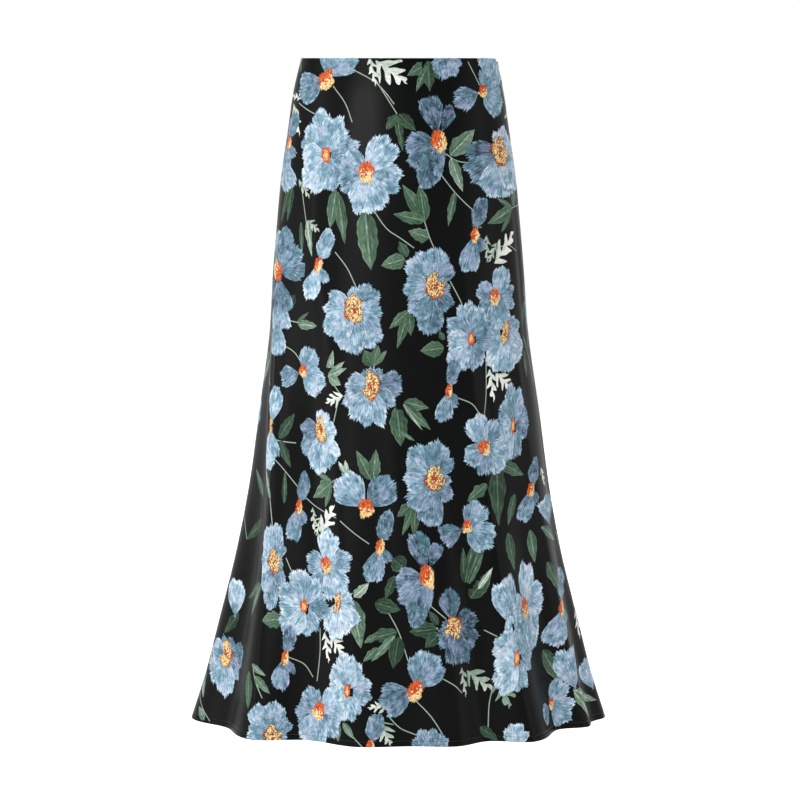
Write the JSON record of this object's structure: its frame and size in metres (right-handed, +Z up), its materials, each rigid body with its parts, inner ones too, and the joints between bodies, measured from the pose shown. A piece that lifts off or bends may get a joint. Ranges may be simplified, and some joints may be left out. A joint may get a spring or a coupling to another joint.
{
  "type": "maxi skirt",
  "caption": "Bias-cut flared satin maxi skirt, filled out as worn, with a turned waist edge, hanging folds, a narrow hem and a concealed side zip.",
  "frame": {"origin": "middle of the waist edge, level with it, where the wearer's waist holds the skirt", "axes": "+Z up out of the waist, -Y out of the skirt's front, +X to the wearer's left"},
  "size_m": [0.5172, 0.3617, 0.8186],
  "materials": {
    "printed_satin": "soft-sheen black satin printed with large light blue flowers, orange and yellow flower centres, green leaves and off-white sprigs",
    "zip_tape": "matte black woven tape",
    "zip_metal": "black enamel, half gloss"
  },
  "bodies": {
    "skirt": {"front_panel": "printed_satin", "back_panel": "printed_satin", "zip_tape": "zip_tape", "zip_slider": "zip_metal"},
    "zip_pull": {"zip_pull": "zip_metal"}
  },
  "joints": [
    {"name": "pull_swing", "type": "hinge", "parent": "skirt", "child": "zip_pull", "pos_m": [0.12041, 0.01646, -0.00793], "axis": [0.2243, -0.9745, 0.0032], "range_deg": [0, 120]}
  ]
}
